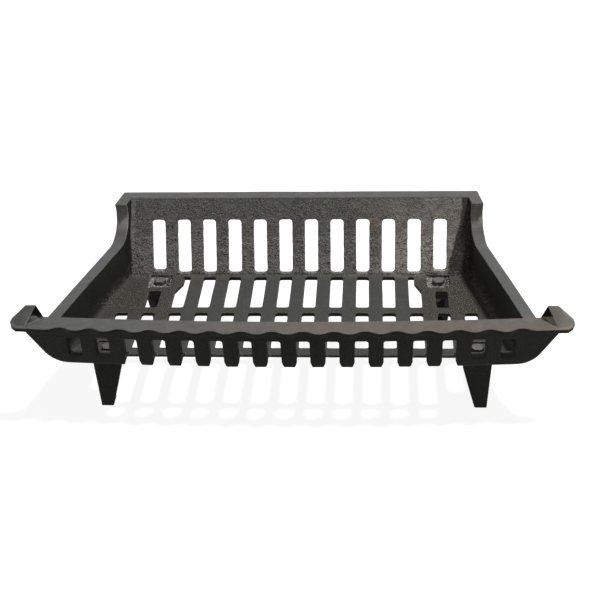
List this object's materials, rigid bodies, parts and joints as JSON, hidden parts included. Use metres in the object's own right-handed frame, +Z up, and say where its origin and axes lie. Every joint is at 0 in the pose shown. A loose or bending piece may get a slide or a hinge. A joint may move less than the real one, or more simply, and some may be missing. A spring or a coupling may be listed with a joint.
{
  "type": "log grate",
  "caption": "Cast-iron fireplace log grate: slotted basket with a leaning back, swept side rims, a bowed scalloped front rail with curled horns, and short tapered bolted legs",
  "frame": {"origin": "on the ground, under the middle of the grate's bounding box", "axes": "+X to the right along the front rail as seen from the front, +Y to the back of the fireplace, +Z up"},
  "size_m": [0.616, 0.265, 0.1604],
  "materials": {
    "basket_iron": "rough",
    "leg_iron": "rough",
    "steel": "rough"
  },
  "bodies": {
    "root": {"basket": "basket_iron", "front_left_leg": "leg_iron", "front_right_leg": "leg_iron", "rear_left_leg": "leg_iron", "rear_right_leg": "leg_iron", "front_left_bolt": "steel", "front_right_bolt": "steel", "rear_left_bolt": "steel", "rear_right_bolt": "steel", "front_left_washer": "steel", "front_right_washer": "steel", "rear_left_washer": "steel", "rear_right_washer": "steel", "front_left_nut": "steel", "front_right_nut": "steel", "rear_left_nut": "steel", "rear_right_nut": "steel"}
  },
  "joints": []
}
